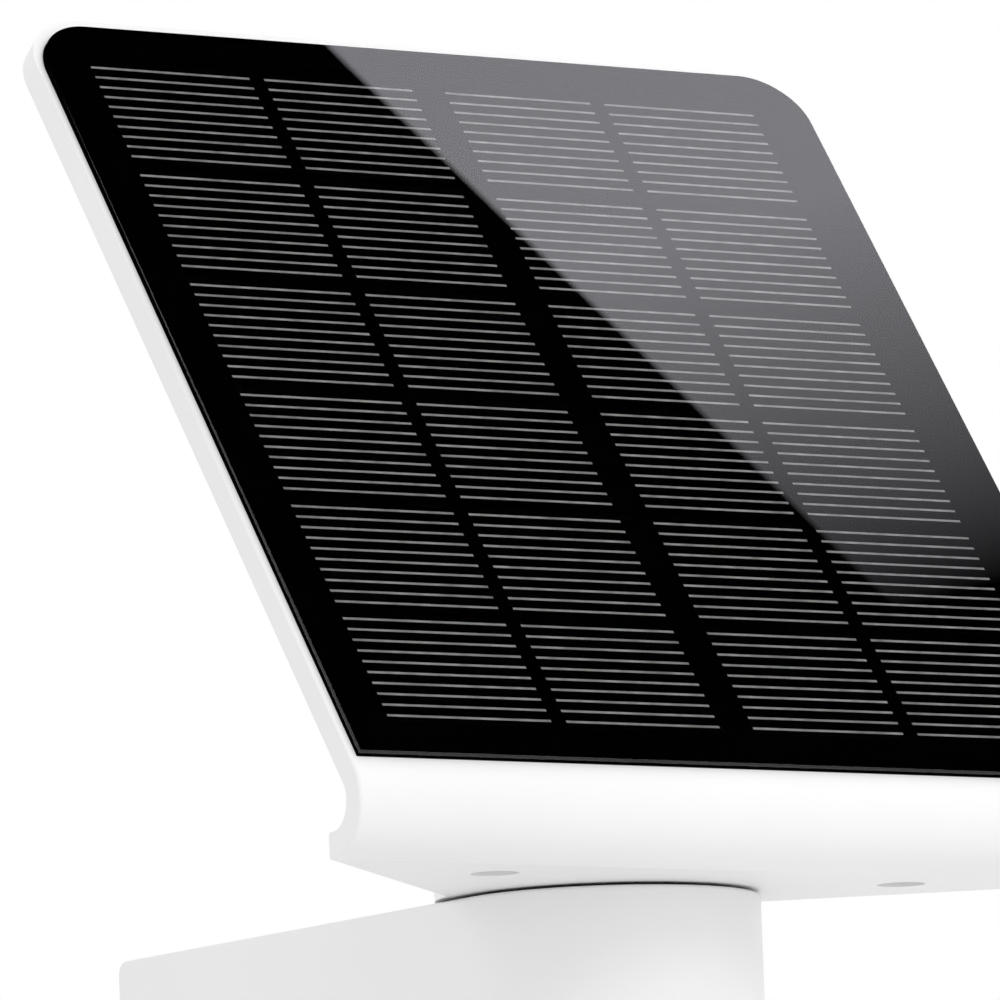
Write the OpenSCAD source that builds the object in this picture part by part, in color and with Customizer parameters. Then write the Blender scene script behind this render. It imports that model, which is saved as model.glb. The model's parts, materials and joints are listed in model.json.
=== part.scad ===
// Solar-powered security camera on a wall bracket, with a swivelling solar head above it
// and a pan and tilt camera ball below it.
// X is to the right, Y is back to the wall and Z is up, in millimetres.
// The origin is the middle of the bracket's mounting face, on the wall.

/* [Solar head] */
// Width across the head's side faces
head_w = 187; // [155:1:230]
// Thickness of the bent plate that carries the panel
plate_t = 5.5; // [4.5:0.1:8]
// Slope of the panel above the horizontal
panel_tilt = 53.8; // [45:0.1:65]
// Inside radius of the bend between panel and tongue
bend_r = 5.5; // [4:0.1:9]
// Angle of the crease where the bend meets the tongue's underside
bend_crease = 12; // [0:0.5:20]
// Distance from the swivel axis forward to the bend's centre
foot_reach = 50.3; // [47:0.1:60]
// Straight length at the foot before the tongue tapers
foot_cut = 0.7; // [0.2:0.1:5]
// Radius of the tongue's round end
tongue_r = 33.3; // [31:0.1:40]
// Radius of the panel's two upper corners
corner_r = 14.5; // [8:0.1:20]

/* [Panel] */
// Length of the glass along the slope
glass_l = 198.9; // [165:0.1:240]
// Thickness of the glass
glass_t = 2.9; // [2:0.1:3]
// Height of the glass above the white face
glass_proud = 1.35; // [0.2:0.01:1.5]
// Width of the white rim beside the glass
side_rim = 1.6; // [1:0.1:4]
// Width of the white rim above the glass
top_rim = 2.9; // [1:0.1:5]
// White land between the bend and the glass
foot_land = 1.9; // [1:0.1:8]
// Thickness of the black frame gasket
gasket_t = 0.5; // [0.3:0.1:1]
// Width of the black frame gasket
gasket_w = 6; // [3:0.5:9]
// Thickness of the board under the cells
board_t = 1; // [0.6:0.1:1.2]
// Thickness of one solar cell
cell_t = 0.3; // [0.2:0.05:0.4]
// Number of cell columns
cell_cols = 4; // [2:2:6]
// Number of cell rows
cell_rows = 6; // [3:1:8]
// Gap between neighbouring columns
col_gap = 3.5; // [1:0.1:6]
// Gap between the two middle columns
mid_gap = 7.9; // [2:0.1:12]
// How much wider the cells of the two outer columns are
outer_extra = 1.7; // [0:0.1:4]
// Offset of the cells to the left of the middle
cells_left = 0.75; // [0:0.05:2]
// Gap between neighbouring rows
row_gap = 2.16; // [1:0.01:5]
// Glass margin beside the cells
cell_side = 12; // [10:0.1:20]
// Glass margin above the cells
cell_top = 9.1; // [9:0.1:20]
// Glass margin below the cells
cell_foot = 9.8; // [8:0.1:20]
// Thickness of the rear cover
cover_t = 1.3; // [1:0.1:1.3]
// Rim left round the rear cover
cover_rim = 9; // [6:0.5:15]
// Radius of the solar lead
lead_r = 1.6; // [1:0.1:2]

/* [Swivel] */
// Distance from the wall to the swivel axis
axis_reach = 137; // [124:1:156]
// Gap between bracket and tongue, filled by the washer
swivel_gap = 0.6; // [0.5:0.1:2]
// Radius of the dark washer in the gap
washer_r = 28.4; // [28:0.1:31.4]
// Outside radius of the swivel spigot
spigot_r = 14; // [13:0.1:16]
// Wall of the swivel spigot
spigot_wall = 4; // [2:0.1:5]
// Radial play of a turning fit
turn_play = 0.05; // [0.02:0.01:0.1]
// Play between parts that don't move on each other
seat_play = 0.15; // [0.1:0.01:0.3]

/* [Bracket] */
// Width of the bracket
bracket_w = 63; // [60:1:75]
// Height of the bracket
bracket_h = 50; // [48:1:60]
// Wall thickness of the bracket
wall_t = 2.5; // [2:0.1:3]
// Thickness of the bottom cover
base_t = 3; // [2.5:0.1:3.5]
// Radius of the bracket's outer edges
edge_r = 0.8; // [0.4:0.1:1.5]
// Radius of the upper corner at the wall
rear_r = 3; // [1:0.1:6]
// Thickness of the steel wall plate
wall_plate_t = 2; // [1.5:0.1:3]
// Spacing of the wall screws across
wall_screw_x = 34; // [25:1:40]
// Spacing of the wall screws up and down
wall_screw_z = 24; // [16:1:30]
// Radius of the wall screw holes
wall_hole_r = 2.25; // [1.5:0.05:3]
// Radius of one battery cell
cell_r = 9.2; // [7:0.1:9.5]
// Length of one battery cell
battery_l = 65; // [50:1:65]

/* [Motion sensor] */
// Radius of the lens of the motion sensor
pir_r = 9; // [6:0.1:10]
// Radius of the dome of the lens
pir_dome_r = 12; // [11:0.1:16]
// Height of the sensor below the bracket's middle
pir_drop = 9.5; // [9:0.1:11]

/* [Camera] */
// Radius of the camera ball
ball_r = 26; // [23:0.1:28]
// Wall of the camera ball
ball_wall = 2; // [1.5:0.1:3]
// Half width of the ball between its flats
ball_flat = 22.8; // [21.5:0.1:24]
// Radius of the yoke
yoke_r = 30; // [29:0.1:31]
// Thickness of the yoke's disc
yoke_t = 7; // [6:0.1:9]
// Half width of a yoke arm
arm_r = 13; // [10:0.1:15]
// Radius of a tilt pin
tilt_pin_r = 4; // [3:0.1:5]
// Radius of the pan spigot
pan_r = 11; // [10:0.1:12]
// Downward aim of the camera
aim_down = 15; // [0:1:30]
// Radius of the camera's front window
window_r = 14.5; // [13:0.1:15]

/* [Controls] */
// Radius of the power button
button_r = 5.5; // [4:0.1:6]
// Travel of the power button
button_travel = 1; // [0.6:0.1:1.2]
// Width of the port door
door_w = 25.4; // [24:0.1:30]
// Length of the port door from its hinge
door_l = 11; // [10:0.1:12]
// Thickness of the port door
door_t = 1.8; // [1.5:0.1:2]

/* [Hidden] */
$fn = 72;

eps = 0.01;
lap = 0.1;
white = [0.95, 0.95, 0.96];
black = [0.05, 0.05, 0.06];
steel = [0.75, 0.76, 0.78];
pcb = [0.1, 0.35, 0.2];

// Levels, from the wall bracket up and down
top_z = bracket_h / 2;
foot_z = -bracket_h / 2;
floor_z = foot_z + base_t;
ceil_z = top_z - wall_t;
tongue_z = top_z + swivel_gap;
bracket_r = bracket_w / 2;

// Solar head
bend_out = bend_r + plate_t;
slab_l = foot_land + glass_l + top_rim;
bend_steps = 48;
spare = 5;
slab_y = -axis_reach - foot_reach - bend_out * sin(panel_tilt);
slab_z = tongue_z + bend_out * (1 + cos(panel_tilt));
glass_w = head_w - 2 * side_rim;
glass_y = foot_land;
glass_corner = corner_r - side_rim;
glass_low = glass_proud - glass_t;
gasket_low = glass_low - gasket_t;
seat_low = gasket_low - board_t;
floor_t = plate_t + seat_low - cover_t;
cell_w = (glass_w - 2 * (cell_side + outer_extra) - mid_gap - (cell_cols - 2) * col_gap) / cell_cols;
cell_l = (glass_l - cell_top - cell_foot - (cell_rows - 1) * row_gap) / cell_rows;
cover_w = head_w - 2 * cover_rim;
cover_y0 = 17;
cover_y1 = slab_l - cover_rim;
cover_corner = 6;
cover_screw_in = 6;
cover_screw_r = 1;
cover_head_r = 2;
cover_head_deep = 0.8;
junction_w = 22;
junction_l = 8;
junction_t = 1;
junction_y = 4;

// Tongue, in a frame on the swivel axis
tongue_wall = 2.6;
tongue_floor = 2.2;
tongue_lid = 1.6;
tongue_tip = tongue_r + 1;
tongue_slope = atan2(tongue_tip + foot_reach - foot_cut, head_w / 2);
tongue_front = foot_reach - 4;
tongue_screw_x = head_w / 2 - 45.9;
tongue_screw_y = -foot_reach + 14.7;
tongue_screw_r = 1.2;
tongue_head_r = 2.9;
tongue_head_t = 1.5;
recess_r = 4.8;
recess_d = 2.5;
boss_r = 6.6;
lid_z = plate_t - tongue_lid;
hump_r = 26;
hump_h = 11.5;
hump_wall = 1.6;
duct_w = 14;
duct_front = foot_reach - 9;
screw_cap_r = 3.6;
screw_cap_h = 4;

// Solar lead: square out of the plate, level through the cover, down the spigot
lead_bend = 8;
lead_bulge = 0.04;
lead_u = 7;
lead_level = plate_t + 5.5;
lead_from = seat_low - junction_t;
lead_turn = 90 - panel_tilt;
lead_y0 = slab_y + axis_reach + lead_u * cos(panel_tilt) - lead_from * sin(panel_tilt);
lead_z0 = slab_z - tongue_z + lead_u * sin(panel_tilt) + lead_from * cos(panel_tilt);
lead_knee = lead_bend * tan(lead_turn / 2);
lead_slant = (lead_z0 - lead_level) / sin(lead_turn);
lead_knee_y = lead_y0 + lead_slant * cos(lead_turn);
lead_end = 1;

// Swivel
spigot_bore = spigot_r - spigot_wall;
flange_r = 22;
flange_t = 2.4;
flange_screw_r = 18;
flange_hole_low = 0.7;
bush_wall = 3;
bush_r = spigot_r + bush_wall;
bush_flange_r = 20;
bush_flange_t = 1.2;
bush_low = 12;
boss_wall = 3.4;
wave_t = 1.3;
nut_t = 4.6;
nut_r = 20.5;
nut_gap = 0.1;
spigot_low = bush_low - nut_gap - wave_t - nut_t - 1.5;

// Bracket
plate_gap = 5;
plate_pocket = wall_plate_t + plate_gap;
back_wall = 3;
cavity_back = plate_pocket + back_wall;
plate_in = 4;
post_r = 3;
post_x = bracket_r - wall_t - post_r + 0.5;
front_post_a = 50;
front_post_r = bracket_r - wall_t - post_r + 1.2;
base_screw_y = [-14, -76];
post_low_h = 14;
base_screw_r = 1.2;
base_screw_l = 10;
base_head_r = 2.4;
base_head_deep = 1.6;
seal_in = 0.9;
seal_w = 0.8;
seal_d = 0.6;
lock_r = 1.5;
lock_y = -plate_pocket / 2;
lock_head_r = 2.6;
lock_head_t = 1.6;
tab_t = 1.5;

// Inside the bracket
board_z = -8;
pcb_t = 1.6;
board_w = 44;
board_back = -cavity_back - 1;
board_neck = 22 - axis_reach;
board_front = -axis_reach - 12;
neck_w = 24;
board_post_r = 2.8;
board_post_x = 18;
board_post_y = [-18, -100];
holder_wall = 1.6;
holder_floor = board_z + pcb_t + 3.6;
cell_gap = 1.2;
cell_x = cell_r + cell_gap / 2;
cell_z = holder_floor + holder_wall + cell_r;
holder_back = -cavity_back - 1;
holder_l = battery_l + 2 * holder_wall + 3;
speaker_y = -62;
speaker_r = 14;
speaker_t = 5;
grille_r = 0.9;
grille_pitch = 4.2;
grille_rings = 2;

// Motion sensor
pir_bezel_w = 2;
pir_front = -axis_reach - bracket_r;
pir_skirt = 7;
pir_wall = 1;
pir_centre = pir_front - 1 + sqrt(pow(pir_dome_r, 2) - pow(pir_r, 2));

// Controls
button_x = 12;
button_y = -34;
button_rise = 1;
button_flange = 1.3;
button_lip = 1.2;
button_play = 0.08;
status_r = 1.5;
door_hinge_y = -84;
door_hinge_z = foot_z + 1.6;
door_knuckle_r = 1.5;
door_pin_r = 0.7;
door_pin_in = 1.2;
door_front = door_hinge_y - door_l;
door_swing = 2.3;
door_play = 0.3;
door_knuckle_l = 18;
port_face_t = 1.2;
port_y = door_hinge_y - 5.6;
usb_x = -5.4;
usb_w = 9;
usb_t = 3.3;
card_x = 6.4;
card_w = 11;
card_t = 0.8;

// Camera
yoke_gap = 1;
yoke_top = foot_z - yoke_gap;
yoke_low = yoke_top - yoke_t;
ball_gap = 2;
ball_z = yoke_low - ball_gap - ball_r;
arm_in = ball_flat + 0.4;
cap_r = 8.8;
cap_seat = yoke_r - 1.6;
pan_bore = 7;
pan_flange_r = 16;
pan_flange_t = 2.4;
pan_screw_at = 13;
pan_head_deep = 1.6;
pan_bush_wall = 2.4;
pan_bush_r = pan_r + pan_bush_wall;
pan_boss_h = 6;
pan_boss_wall = 3;
pan_lip_t = 1.2;
pan_nut_t = 3.6;
pan_nut_r = 15.5;
pan_top = floor_z + pan_boss_h + pan_lip_t + 0.3 + pan_nut_t + 0.8;
split_y = 2;
ring_w = 1.9;
ring_r = window_r + ring_w;
ring_seat = sqrt(pow(ball_r, 2) - pow(ring_r + 0.2, 2));
window_t = 1.5;
window_deep = 0.5;
barrel_r = 6.5;
lamp_ring = 10.8;
lamp_r = 1.9;
lamp_count = 8;
lamp_board_t = 1.2;
lamp_y = -ring_seat + 5.2;
ball_screw_z = 17.5;
ball_post_r = 3.4;
ball_post_low = 7;
ball_post_l = 16;

// A tab from y0 to y1 with its two upper corners rounded
module tab_2d(w, y0, y1, r) {
    translate([-w / 2, y0]) square([w, y1 - y0 - r]);
    translate([r - w / 2, y0]) square([w - 2 * r, y1 - y0]);
    for (s = [-1, 1]) translate([s * (w / 2 - r), y1 - r]) circle(r);
}

// A rectangle from y0 to y1 with four rounded corners
module rounded_2d(w, y0, y1, r) {
    translate([-w / 2, y0 + r]) square([w, y1 - y0 - 2 * r]);
    translate([r - w / 2, y0]) square([w - 2 * r, y1 - y0]);
    for (x = [-1, 1], y = [y0 + r, y1 - r]) translate([x * (w / 2 - r), y]) circle(r);
}

// The tongue's outline about the swivel axis, moved in by inset
module tongue_2d(inset = 0, front = foot_reach) {
    tip = tongue_tip - inset / cos(tongue_slope);
    end = tongue_r / 3;
    straight = inset > 0 ? front : foot_reach - foot_cut;
    wide = (tip + straight) / tan(tongue_slope);
    narrow = (tip - end) / tan(tongue_slope);
    polygon([[-wide, -front], [wide, -front], [wide, -straight], [narrow, end],
             [-narrow, end], [-wide, -straight]]);
    circle(tongue_r - inset);
}

// A round-headed screw with a cross drive; the head is below z = 0 and the shank above it
module screw(shank_r, shank_l, head_r, head_t) {
    cylinder(shank_l, r = shank_r);
    difference() {
        translate([0, 0, -head_t]) cylinder(head_t, r = head_r);
        for (a = [0, 90])
            rotate(a) translate([-head_r * 0.6, -head_r * 0.12, -head_t - eps])
                cube([head_r * 1.2, head_r * 0.24, head_t * 0.6]);
    }
}

module tube(r_out, r_in, h) {
    difference() {
        cylinder(h, r = r_out);
        translate([0, 0, -eps]) cylinder(h + 2 * eps, r = r_in);
    }
}

module on_bend() translate([0, -axis_reach - foot_reach, tongue_z + bend_out]) children();
// The slab's frame: Y up the slope from the bend and Z out of its front face
module on_slab() on_bend() rotate([panel_tilt, 0, 0]) translate([0, 0, bend_out]) children();
module on_axis(z = 0) translate([0, -axis_reach, z]) children();
module on_tongue() on_axis(tongue_z) children();
module in_ball() on_axis(ball_z) rotate([aim_down, 0, 0]) children();
// Children modelled along +Z come out along +Y
module along_y() rotate([-90, 0, 0]) children();
// Children modelled along +Z come out along +X
module along_x() rotate([0, 90, 0]) children();
module both_x() for (s = [0, 1]) mirror([s, 0, 0]) children();

module at_cover_screws() {
    for (x = [-1, 0, 1], y = [cover_y0 + cover_screw_in, cover_y1 - cover_screw_in])
        translate([x * (cover_w / 2 - cover_screw_in), y, -plate_t]) children();
    for (x = [-1, 1])
        translate([x * (cover_w / 2 - cover_screw_in), (cover_y0 + cover_y1) / 2, -plate_t])
            children();
}

module at_tongue_screws()
    for (x = [-1, 1]) translate([x * tongue_screw_x, tongue_screw_y, 0]) children();

module at_flange_screws()
    for (a = [45:90:315]) rotate(a) translate([flange_screw_r, 0, 0]) children();

// The bent plate's side view about the bend's centre, with spare length at both ends
module side_2d() {
    up = [cos(panel_tilt), sin(panel_tilt)];
    out = [-sin(panel_tilt), cos(panel_tilt)];
    inner = [for (i = [0:bend_steps]) panel_tilt + 90 + i * (180 - panel_tilt) / bend_steps];
    outer = [for (i = [0:bend_steps])
        270 - bend_crease - i * (180 - bend_crease - panel_tilt) / bend_steps];
    polygon(concat(
        [[foot_reach + tongue_r + spare, -bend_out], [-bend_out * tan(bend_crease / 2), -bend_out]],
        [for (a = outer) bend_out * [cos(a), sin(a)]],
        [out * bend_out + up * (slab_l + spare), out * bend_r + up * (slab_l + spare)],
        [for (a = inner) bend_r * [cos(a), sin(a)]],
        [[foot_reach + tongue_r + spare, -bend_r]]));
}

module head_solid() {
    difference() {
        on_bend() rotate([90, 0, 90]) translate([0, 0, -head_w / 2]) linear_extrude(head_w) side_2d();
        on_slab() translate([0, 0, -2 * plate_t]) linear_extrude(3 * plate_t) difference() {
            translate([-head_w, slab_l - corner_r]) square([2 * head_w, corner_r + 3 * spare]);
            tab_2d(head_w + 2 * eps, 0, slab_l, corner_r);
        }
        on_tongue() translate([0, 0, -1]) linear_extrude(plate_t + 2) difference() {
            translate([-head_w, foot_cut - foot_reach]) square([2 * head_w, foot_reach + 2 * tongue_r]);
            tongue_2d();
        }
    }
}

module head_shell() {
    color(white) difference() {
        union() {
            difference() {
                head_solid();
                on_tongue() translate([0, 0, tongue_floor])
                    linear_extrude(plate_t) tongue_2d(tongue_wall, tongue_front);
            }
            on_tongue() at_tongue_screws() cylinder(lid_z, r = boss_r);
        }
        on_slab() {
            translate([0, 0, seat_low]) linear_extrude(plate_t)
                tab_2d(glass_w, glass_y, glass_y + glass_l, glass_corner);
            translate([-junction_w / 2 - seat_play, junction_y - seat_play, seat_low - junction_t])
                cube([junction_w + 2 * seat_play, junction_l + 2 * seat_play, plate_t]);
            translate([0, 0, -plate_t - eps]) linear_extrude(cover_t + eps)
                rounded_2d(cover_w, cover_y0, cover_y1, cover_corner);
            at_cover_screws() cylinder(plate_t, r = cover_screw_r);
            translate([0, lead_u, -plate_t - eps]) cylinder(plate_t, r = lead_r + 1);
        }
        on_tongue() {
            translate([0, 0, -eps]) cylinder(plate_t, r = spigot_r + seat_play);
            at_tongue_screws() translate([0, 0, -eps]) cylinder(recess_d + eps, r = recess_r);
            at_tongue_screws() cylinder(plate_t, r = tongue_screw_r + 0.2);
            at_flange_screws() translate([0, 0, flange_hole_low]) cylinder(plate_t, r = 1);
        }
    }
}

module panel_back_cover() {
    color(white) on_slab() difference() {
        translate([0, 0, -plate_t]) linear_extrude(cover_t)
            rounded_2d(cover_w - 2 * seat_play, cover_y0 + seat_play, cover_y1 - seat_play,
                       cover_corner);
        at_cover_screws() {
            translate([0, 0, -eps]) cylinder(cover_head_deep + eps, r = cover_head_r + 0.2);
            cylinder(plate_t, r = cover_screw_r + 0.1);
        }
    }
}

module panel_back_screws() {
    color(steel) on_slab() at_cover_screws()
        translate([0, 0, cover_head_deep])
            screw(cover_screw_r, cover_t + floor_t - 1, cover_head_r, cover_head_deep - 0.1);
}

module solar_glass() {
    color(black) on_slab() translate([0, 0, glass_low]) linear_extrude(glass_t)
        tab_2d(glass_w - 0.1, glass_y + 0.05, glass_y + glass_l - 0.05, glass_corner);
}

module panel_gasket() {
    color(black) on_slab() translate([0, 0, gasket_low]) linear_extrude(gasket_t) difference() {
        tab_2d(glass_w - 0.1, glass_y + 0.05, glass_y + glass_l - 0.05, glass_corner);
        rounded_2d(glass_w - 2 * gasket_w, glass_y + gasket_w, glass_y + glass_l - gasket_w, 3);
    }
}

module cell_board() {
    color(black) on_slab() translate([0, 0, seat_low]) linear_extrude(board_t)
        tab_2d(glass_w - 0.1, glass_y + 0.05, glass_y + glass_l - 0.05, glass_corner);
}

module solar_cells() {
    color([0.03, 0.03, 0.07]) on_slab()
        for (c = [0:cell_cols - 1], r = [0:cell_rows - 1])
            translate([cell_side - cells_left - glass_w / 2 + c * (cell_w + col_gap)
                       + (c > 0 ? outer_extra : 0) + (c >= cell_cols / 2 ? mid_gap - col_gap : 0),
                       glass_y + cell_foot + r * (cell_l + row_gap), gasket_low])
                cube([cell_w + (c % (cell_cols - 1) == 0 ? outer_extra : 0), cell_l, cell_t]);
}

module junction_block() {
    color(black) on_slab() difference() {
        translate([-junction_w / 2, junction_y, seat_low - junction_t])
            cube([junction_w, junction_l, junction_t]);
        for (x = [-7, 7])
            translate([x, junction_y + junction_l / 2, seat_low - 0.4]) cylinder(1, r = 1.5);
    }
}

module tongue_cover() {
    color(white) on_tongue() difference() {
        union() {
            translate([0, 0, lid_z]) linear_extrude(tongue_lid)
                tongue_2d(tongue_wall + seat_play, tongue_front - seat_play);
            translate([0, 0, lid_z]) rotate_extrude() {
                square([hump_r, tongue_lid + hump_h - 2]);
                square([hump_r - 2, tongue_lid + hump_h]);
                translate([hump_r - 2, tongue_lid + hump_h - 2]) circle(2);
            }
            translate([-duct_w / 2, -duct_front, lid_z]) cube([duct_w, duct_front, tongue_lid + hump_h - 1]);
            at_tongue_screws() translate([0, 0, lid_z]) cylinder(tongue_lid + screw_cap_h, r = screw_cap_r);
        }
        translate([0, 0, lid_z - eps]) cylinder(tongue_lid + hump_h - hump_wall, r = hump_r - hump_wall);
        translate([hump_wall - duct_w / 2, hump_wall - duct_front, lid_z - eps])
            cube([duct_w - 2 * hump_wall, duct_front, tongue_lid + hump_h - 1 - hump_wall]);
        at_tongue_screws() translate([0, 0, lid_z - eps])
            cylinder(tongue_lid + screw_cap_h - 1.6, r = tongue_screw_r);
        translate([0, lead_knee_y, lead_level]) rotate([90 - lead_turn, 0, 0])
            cylinder(lead_slant, r = lead_r + 0.2);
    }
}

module tongue_screws() {
    color(steel) on_tongue() at_tongue_screws()
        translate([0, 0, recess_d])
            screw(tongue_screw_r, lid_z - recess_d + screw_cap_h - 0.4, tongue_head_r, tongue_head_t);
}

module swivel_spigot() {
    color([0.2, 0.2, 0.21]) on_axis() difference() {
        union() {
            translate([0, 0, spigot_low])
                cylinder(tongue_z + tongue_floor + flange_t - spigot_low, r = spigot_r);
            translate([0, 0, tongue_z + tongue_floor]) cylinder(flange_t, r = flange_r);
        }
        translate([0, 0, spigot_low - eps]) cylinder(top_z + tongue_z, r = spigot_bore);
        translate([0, 0, tongue_z]) at_flange_screws() cylinder(plate_t, r = 1.2);
    }
}

module spigot_screws() {
    color(steel) on_tongue() at_flange_screws()
        translate([0, 0, tongue_floor + flange_t]) mirror([0, 0, 1])
            screw(1, flange_t + tongue_floor - flange_hole_low - 0.1, 2.1, 1.2);
}

module wave_washer() {
    color(steel) on_axis(bush_low - nut_gap - wave_t) tube(spigot_r + 3, spigot_r + seat_play, wave_t);
}

module spigot_nut() {
    color([0.2, 0.2, 0.21]) on_axis(bush_low - nut_gap - wave_t - nut_t) difference() {
        cylinder(nut_t, r = nut_r, $fn = 6);
        translate([0, 0, -eps]) cylinder(nut_t + 2 * eps, r = spigot_r);
    }
}

module solar_lead() {
    color(black) on_tongue() {
        // square out of the plate, down to the knee
        translate([0, lead_knee_y - lead_knee * cos(lead_turn), lead_level + lead_knee * sin(lead_turn)])
            rotate([90 - lead_turn, 0, 0]) translate([0, 0, -lap])
                cylinder(lead_slant - lead_knee + lap, r = lead_r);
        // knee, from the slant to level
        translate([0, lead_knee_y + lead_knee, lead_level + lead_bend]) along_x()
            rotate(-lead_turn) rotate_extrude(angle = lead_turn) translate([lead_bend, 0])
                circle(lead_r + lead_bulge);
        translate([0, lead_knee_y + lead_knee - lap, lead_level])
            along_y() cylinder(2 * lap - lead_bend - lead_knee_y - lead_knee, r = lead_r);
        // elbow, from level to straight down the axis
        translate([0, -lead_bend, lead_level - lead_bend]) along_x()
            rotate(90) rotate_extrude(angle = 90) translate([lead_bend, 0]) circle(lead_r + lead_bulge);
        translate([0, 0, lead_end - tongue_z])
            cylinder(lead_level - lead_bend + tongue_z - lead_end + lap, r = lead_r);
        // plug at the end
        translate([-3.5, -2.5, lead_end - tongue_z]) cube([7, 5, 5]);
    }
}

module lead_grommet() {
    color(black) on_slab() translate([0, lead_u, 0]) difference() {
        union() {
            translate([0, 0, -plate_t]) cylinder(plate_t + lead_from, r = lead_r + 1);
            translate([0, 0, -plate_t - 1.2]) cylinder(1.2, r = lead_r + 2);
        }
        translate([0, 0, -2 * plate_t]) cylinder(3 * plate_t, r = lead_r);
    }
}

// The bracket's outside: a round front on the swivel axis and a straight run to the wall
module bracket_body(z0, z1, round_low, round_top) {
    r = bracket_r;
    on_axis() rotate_extrude() {
        translate([0, z0]) square([r - edge_r, z1 - z0]);
        translate([0, z0 + (round_low ? edge_r : 0)])
            square([r, z1 - z0 - (round_low ? edge_r : 0) - (round_top ? edge_r : 0)]);
        if (round_top) translate([r - edge_r, z1 - edge_r]) circle(edge_r);
        if (round_low) translate([r - edge_r, z0 + edge_r]) circle(edge_r);
    }
    translate([0, -axis_reach, 0]) rotate([90, 0, 180]) linear_extrude(axis_reach) {
        translate([edge_r - r, z0]) square([bracket_w - 2 * edge_r, z1 - z0]);
        translate([-r, z0 + (round_low ? edge_r : 0)])
            square([bracket_w, z1 - z0 - (round_low ? edge_r : 0) - (round_top ? edge_r : 0)]);
        for (s = [-1, 1]) {
            if (round_top) translate([s * (r - edge_r), z1 - edge_r]) circle(edge_r);
            if (round_low) translate([s * (r - edge_r), z0 + edge_r]) circle(edge_r);
        }
    }
}

// The bracket's outline moved in by inset, ending back from the wall
module bracket_2d(inset, back) {
    translate([0, -axis_reach]) circle(bracket_r - inset);
    translate([inset - bracket_r, -axis_reach]) square([bracket_w - 2 * inset, axis_reach - back]);
}

module at_base_screws() {
    for (s = [-1, 1], y = base_screw_y) translate([s * post_x, y, foot_z]) children();
    for (s = [-1, 1])
        on_axis(foot_z) rotate(-90 + s * front_post_a) translate([front_post_r, 0, 0]) children();
}

module at_wall_screws()
    for (x = [-0.5, 0.5], z = [-0.5, 0.5])
        translate([x * wall_screw_x, 0, z * wall_screw_z]) children();

module at_pir() translate([0, 0, -pir_drop]) children();

module bracket_shell() {
    color(white) difference() {
        union() {
            difference() {
                bracket_body(floor_z, top_z, false, true);
                translate([0, 0, floor_z - eps]) linear_extrude(ceil_z - floor_z + eps)
                    bracket_2d(wall_t, cavity_back);
            }
            on_axis(bush_low) cylinder(ceil_z - bush_low + eps, r = bush_r + boss_wall);
            intersection() {
                translate([0, 0, base_t]) at_base_screws() cylinder(post_low_h, r = post_r);
                translate([0, 0, floor_z]) linear_extrude(bracket_h) bracket_2d(wall_t / 2, cavity_back);
            }
        }
        // bush seat
        on_axis(bush_low - eps) cylinder(bracket_h, r = bush_r);
        on_axis(top_z - bush_flange_t) cylinder(bracket_h, r = bush_flange_r);
        // screw holes of the bottom cover
        translate([0, 0, base_t - eps]) at_base_screws() cylinder(post_low_h - 2, r = base_screw_r);
        // pocket for the wall plate
        translate([plate_in - bracket_r, -plate_pocket, floor_z + plate_in])
            cube([bracket_w - 2 * plate_in, plate_pocket + eps, top_z - floor_z - 2 * plate_in]);
        // side screws that lock the bracket on its plate
        both_x() translate([0, lock_y, 0]) along_x() {
            cylinder(bracket_w, r = lock_r);
            translate([0, 0, bracket_r - lock_head_t]) cylinder(bracket_w, r = lock_head_r + 0.1);
        }
        // opening of the motion sensor
        translate([0, pir_front - 1, 0]) at_pir() along_y() cylinder(pir_skirt + 3, r = pir_r + pir_bezel_w);
        // round upper corner at the wall
        translate([0, -rear_r, top_z - rear_r]) along_x() difference() {
            translate([-rear_r - eps, 0, -bracket_w]) cube([rear_r + eps, rear_r + eps, 2 * bracket_w]);
            translate([0, 0, -bracket_w]) cylinder(2 * bracket_w, r = rear_r);
        }
    }
}

module grille_holes()
    for (x = [-grille_rings:grille_rings], y = [-grille_rings:grille_rings])
        if (abs(x + y) <= grille_rings)
            translate([(x + y / 2) * grille_pitch, y * grille_pitch * sqrt(3) / 2, 0]) children();

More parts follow.
